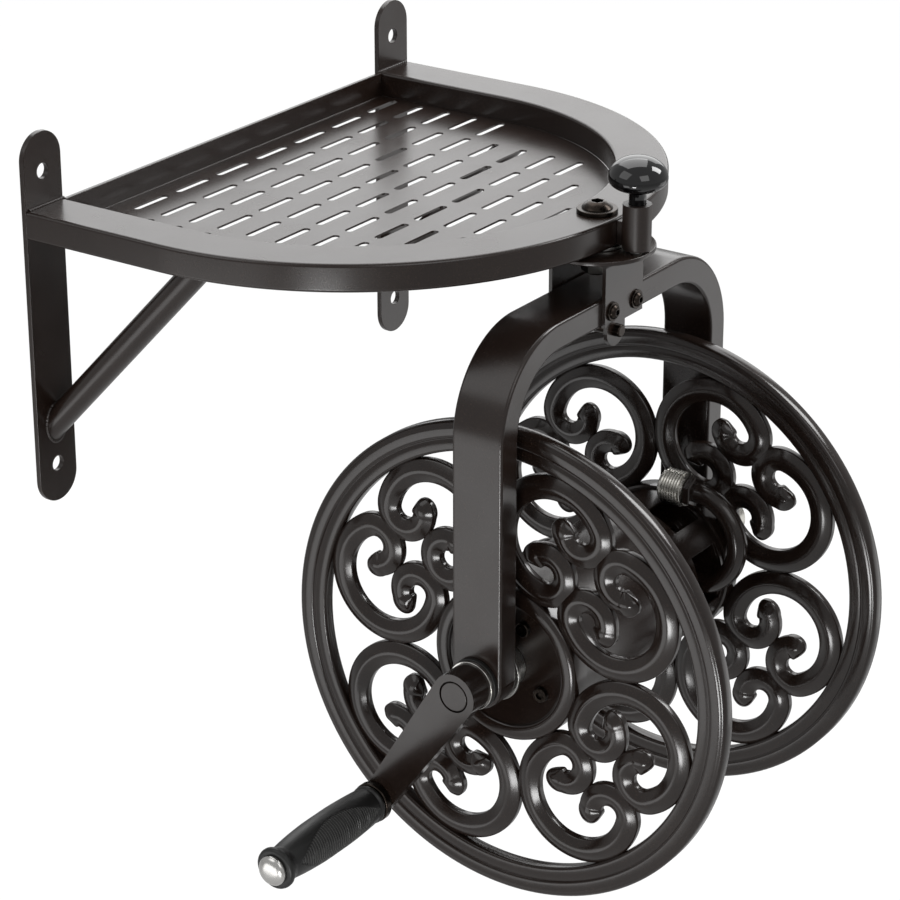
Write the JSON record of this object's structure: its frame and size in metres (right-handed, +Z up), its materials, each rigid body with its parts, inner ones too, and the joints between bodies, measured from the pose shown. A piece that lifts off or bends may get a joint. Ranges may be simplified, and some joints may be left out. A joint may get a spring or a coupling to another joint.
{
  "type": "wall mounted hose reel",
  "caption": "Swivelling hose reel for a wall: shelf on two wall bars, bent tube fork on a pivot with a locking plunger, reel with cast scroll flanges and a crank.",
  "frame": {"origin": "middle of the four wall bolts, on the wall face", "axes": "+Y into the wall, +X to the right when facing the wall, +Z up; the reel stands toward -Y"},
  "size_m": [0.5149, 0.497, 0.5253],
  "materials": {
    "bronze_steel": "dark bronze satin powder coat on steel",
    "bronze_casting": "dark bronze satin powder coat on cast aluminium",
    "black_hardware": "black oxide steel",
    "bright_steel": "zinc plated",
    "black_knob": "gloss black moulded knob",
    "black_plastic": "matt black nylon",
    "grip_rubber": "matt black rubber",
    "seal_rubber": "black nitrile",
    "chrome": "polished chrome",
    "plated_brass": "nickel plated brass"
  },
  "bodies": {
    "shelf": {"left_bracket": "bronze_steel", "right_bracket": "bronze_steel", "shelf_rim": "bronze_steel", "rear_bar": "bronze_steel", "shelf_plate": "bronze_steel", "left_brace": "bronze_steel", "right_brace": "bronze_steel", "pivot_bolt": "black_hardware", "pivot_washer": "black_hardware", "thrust_washer": "bright_steel", "nut_washer": "bright_steel", "pivot_nut": "bright_steel", "plunger_housing": "bronze_steel", "plunger_guide": "bright_steel", "plunger_spring": "bright_steel"},
    "plunger": {"plunger_pin": "bright_steel", "plunger_knob": "black_knob"},
    "yoke": {"index_disc": "bronze_steel", "saddle": "bronze_steel", "saddle_washers": "black_hardware", "saddle_screws": "black_hardware", "support_pin": "black_hardware", "fork": "bronze_steel", "fork_ends": "bronze_steel", "left_bush": "black_plastic", "right_bush": "black_plastic"},
    "reel": {"left_flange": "bronze_casting", "right_flange": "bronze_casting", "drum": "bronze_steel", "left_drum_cap": "bronze_steel", "right_drum_cap": "bronze_steel", "hub_screws": "black_hardware", "hub_spacers": "bright_steel", "axle": "bright_steel", "axle_plug": "bronze_casting", "crank_washer": "bright_steel", "crank_arm": "bronze_casting", "crank_pin": "bright_steel", "outlet_tube": "bronze_steel", "outlet_fitting": "plated_brass", "crank_spindle": "bright_steel", "spindle_nut": "bright_steel", "grip_collar": "black_hardware", "grip_cap": "chrome", "inlet_seals": "seal_rubber"},
    "grip": {"grip": "grip_rubber"},
    "inlet": {"inlet_elbow": "plated_brass", "inlet_clip": "bright_steel", "inlet_fitting": "plated_brass"}
  },
  "joints": [
    {"name": "plunger_slide", "type": "slide", "parent": "shelf", "child": "plunger", "axis": [0, 0, 1], "range_m": [-0.006, 0.002], "deforming": ["plunger_spring"]},
    {"name": "fork_swivel", "type": "hinge", "parent": "shelf", "child": "yoke", "pos_m": [0, -0.321, 0.0557], "axis": [0, 0, 1], "continuous": true},
    {"name": "reel_turn", "type": "hinge", "parent": "yoke", "child": "reel", "pos_m": [0, -0.321, -0.2133], "axis": [-1, 0, 0], "continuous": true},
    {"name": "grip_turn", "type": "hinge", "parent": "reel", "child": "grip", "pos_m": [-0.2235, -0.25477, -0.31337], "axis": [-1, 0, 0], "continuous": true},
    {"name": "inlet_swivel", "type": "hinge", "parent": "yoke", "child": "inlet", "pos_m": [0.1735, -0.321, -0.2133], "axis": [-1, 0, 0], "continuous": true}
  ]
}
